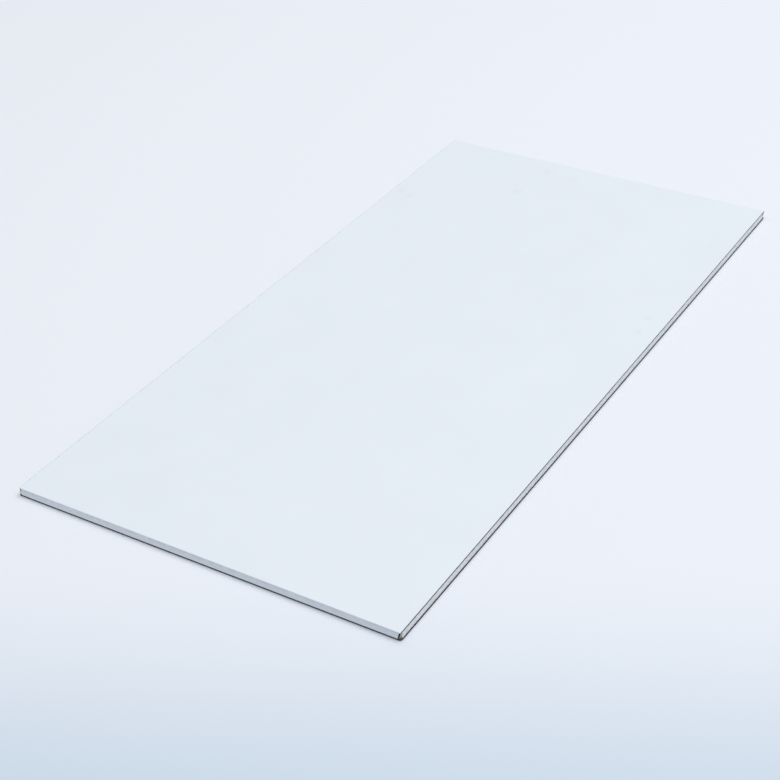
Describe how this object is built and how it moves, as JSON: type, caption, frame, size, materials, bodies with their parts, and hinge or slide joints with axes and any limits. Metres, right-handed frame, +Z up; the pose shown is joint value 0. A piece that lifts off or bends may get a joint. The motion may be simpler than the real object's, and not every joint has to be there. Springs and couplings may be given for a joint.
{
  "type": "ceiling tile",
  "caption": "Plain white lay-in ceiling tile, a flat faced board with folded short edges and sawn long edges, lying face up.",
  "frame": {"origin": "middle of the back, which lies on the floor", "axes": "+X along the short side, +Y along the long side, +Z up out of the white face"},
  "size_m": [0.595, 1.195, 0.013],
  "materials": {
    "faced_board": "matte",
    "white_film": "matte",
    "sawn_gypsum": "matte",
    "liner_paper": "matte"
  },
  "bodies": {
    "root": {"ceiling_tile": "faced_board"}
  },
  "joints": []
}
